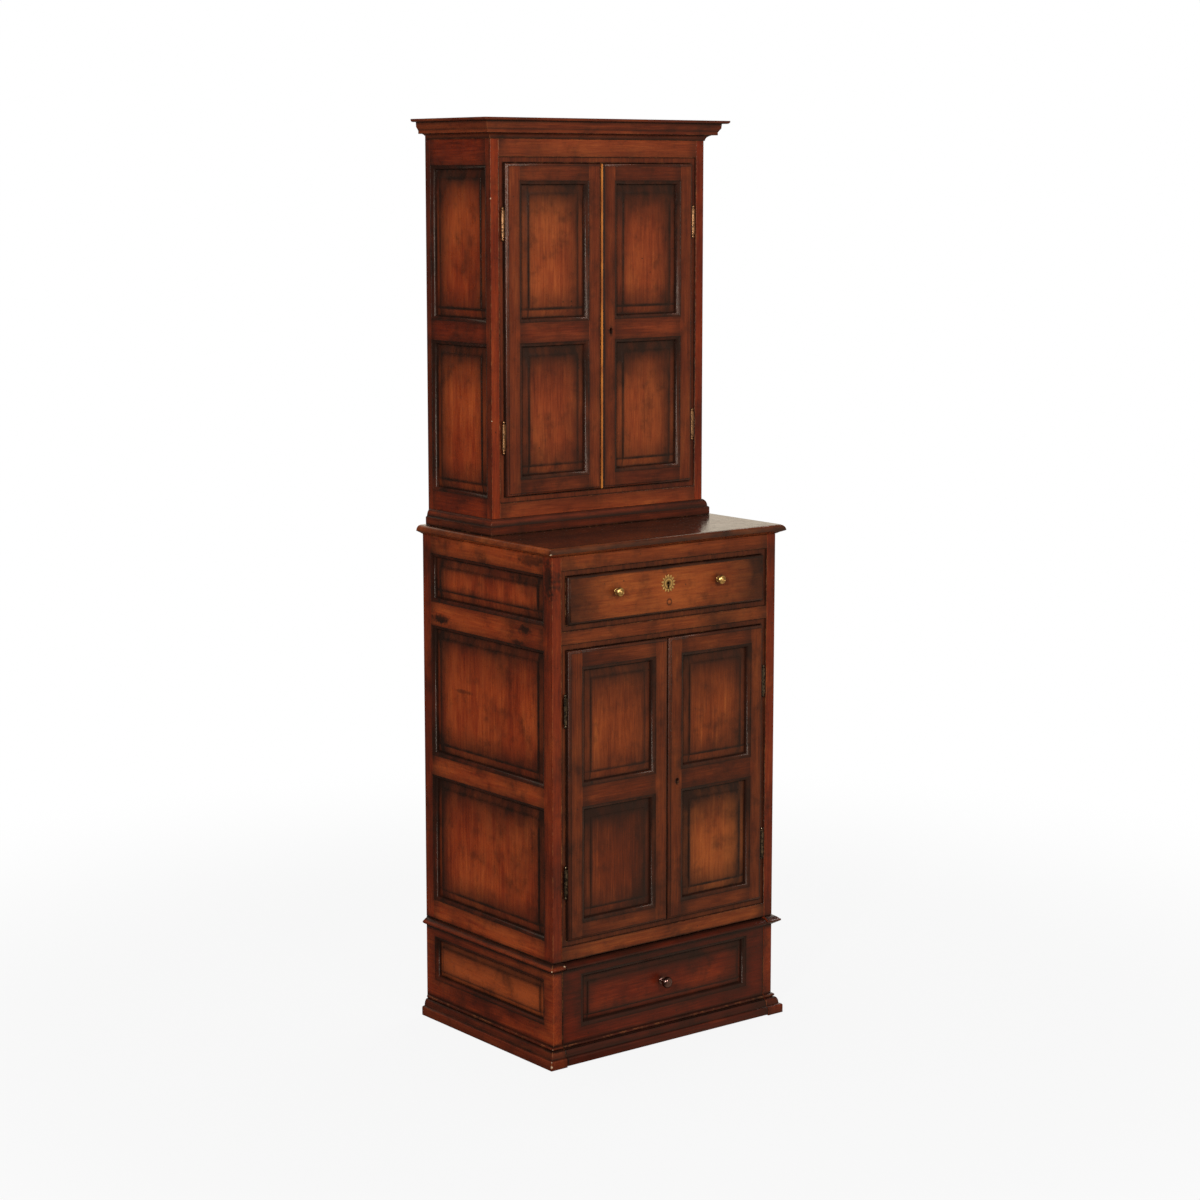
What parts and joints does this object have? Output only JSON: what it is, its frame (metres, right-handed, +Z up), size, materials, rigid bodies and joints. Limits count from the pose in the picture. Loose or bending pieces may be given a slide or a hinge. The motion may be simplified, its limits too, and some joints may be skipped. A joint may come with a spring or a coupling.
{
  "type": "step back cabinet",
  "caption": "Two-part wooden step-back cupboard: shallow panelled upper case with doors on a deeper lower case with drawer and doors, on a plinth that hides a drawer.",
  "frame": {"origin": "on the floor under the middle of the bounding box", "axes": "+Z up, -Y towards the viewer in front of the doors, +X to the right as seen from the front"},
  "size_m": [0.656, 0.4914, 1.96],
  "materials": {
    "upper_wood": "red-brown stain, dark in the recesses, satin",
    "lower_wood": "brown stain, dark in the recesses, satin",
    "inner_wood": "bare aged softwood",
    "brass": "worn satin brass",
    "dark_bronze": "dark patina",
    "iron": "aged iron"
  },
  "bodies": {
    "case": {"cornice": "upper_wood", "upper_top": "inner_wood", "upper_left_side": "upper_wood", "upper_right_side": "upper_wood", "upper_face_frame": "upper_wood", "upper_back": "inner_wood", "upper_bottom": "inner_wood", "upper_base_moulding": "upper_wood", "upper_shelf": "inner_wood", "lower_top": "lower_wood", "lower_left_side": "lower_wood", "lower_right_side": "lower_wood", "lower_face_frame": "lower_wood", "lower_back": "inner_wood", "lower_floor": "inner_wood", "lower_shelf": "inner_wood", "drawer_deck": "inner_wood", "plinth_left": "lower_wood", "plinth_right": "lower_wood", "plinth_back": "inner_wood", "upper_left_top_hinge_frame_half": "brass", "upper_left_bottom_hinge_frame_half": "brass", "upper_right_top_hinge_frame_half": "brass", "upper_right_bottom_hinge_frame_half": "brass", "lower_left_top_hinge_frame_half": "brass", "lower_left_bottom_hinge_frame_half": "brass", "lower_right_top_hinge_frame_half": "brass", "lower_right_bottom_hinge_frame_half": "brass"},
    "upper_left_door": {"upper_left_door_frame": "upper_wood", "upper_left_door_top_panel": "upper_wood", "upper_left_door_bottom_panel": "upper_wood", "upper_left_top_hinge_door_half": "brass", "upper_left_bottom_hinge_door_half": "brass"},
    "upper_right_door": {"upper_right_door_frame": "upper_wood", "upper_right_door_top_panel": "upper_wood", "upper_right_door_bottom_panel": "upper_wood", "upper_right_door_lock": "iron", "upper_right_top_hinge_door_half": "brass", "upper_right_bottom_hinge_door_half": "brass"},
    "lower_left_door": {"lower_left_door_frame": "lower_wood", "lower_left_door_top_panel": "lower_wood", "lower_left_door_bottom_panel": "lower_wood", "lower_left_top_hinge_door_half": "brass", "lower_left_bottom_hinge_door_half": "brass"},
    "lower_right_door": {"lower_right_door_frame": "lower_wood", "lower_right_door_top_panel": "lower_wood", "lower_right_door_bottom_panel": "lower_wood", "lower_right_door_lock": "iron", "lower_right_top_hinge_door_half": "brass", "lower_right_bottom_hinge_door_half": "brass"},
    "top_drawer": {"top_drawer_front": "lower_wood", "top_drawer_box": "inner_wood", "top_drawer_bottom": "inner_wood", "top_drawer_left_knob": "brass", "top_drawer_right_knob": "brass", "top_drawer_keyhole_shield": "brass"},
    "plinth_drawer": {"plinth_drawer_front": "lower_wood", "plinth_drawer_box": "inner_wood", "plinth_drawer_bottom": "inner_wood", "plinth_drawer_knob": "dark_bronze"}
  },
  "joints": [
    {"name": "upper_left_door_hinge", "type": "hinge", "parent": "case", "child": "upper_left_door", "pos_m": [-0.2569, 0.00825, 1.1735], "axis": [0, 0, -1], "range_deg": [0, 120]},
    {"name": "upper_right_door_hinge", "type": "hinge", "parent": "case", "child": "upper_right_door", "pos_m": [0.2569, 0.00825, 1.1735], "axis": [0, 0, 1], "range_deg": [0, 120]},
    {"name": "lower_left_door_hinge", "type": "hinge", "parent": "case", "child": "lower_left_door", "pos_m": [-0.2704, -0.22075, 0.266], "axis": [0, 0, -1], "range_deg": [0, 120]},
    {"name": "lower_right_door_hinge", "type": "hinge", "parent": "case", "child": "lower_right_door", "pos_m": [0.2704, -0.22075, 0.266], "axis": [0, 0, 1], "range_deg": [0, 120]},
    {"name": "top_drawer_slide", "type": "slide", "parent": "case", "child": "top_drawer", "axis": [0, -1, 0], "range_m": [0, 0.3]},
    {"name": "plinth_drawer_slide", "type": "slide", "parent": "case", "child": "plinth_drawer", "axis": [0, -1, 0], "range_m": [0, 0.3]}
  ]
}
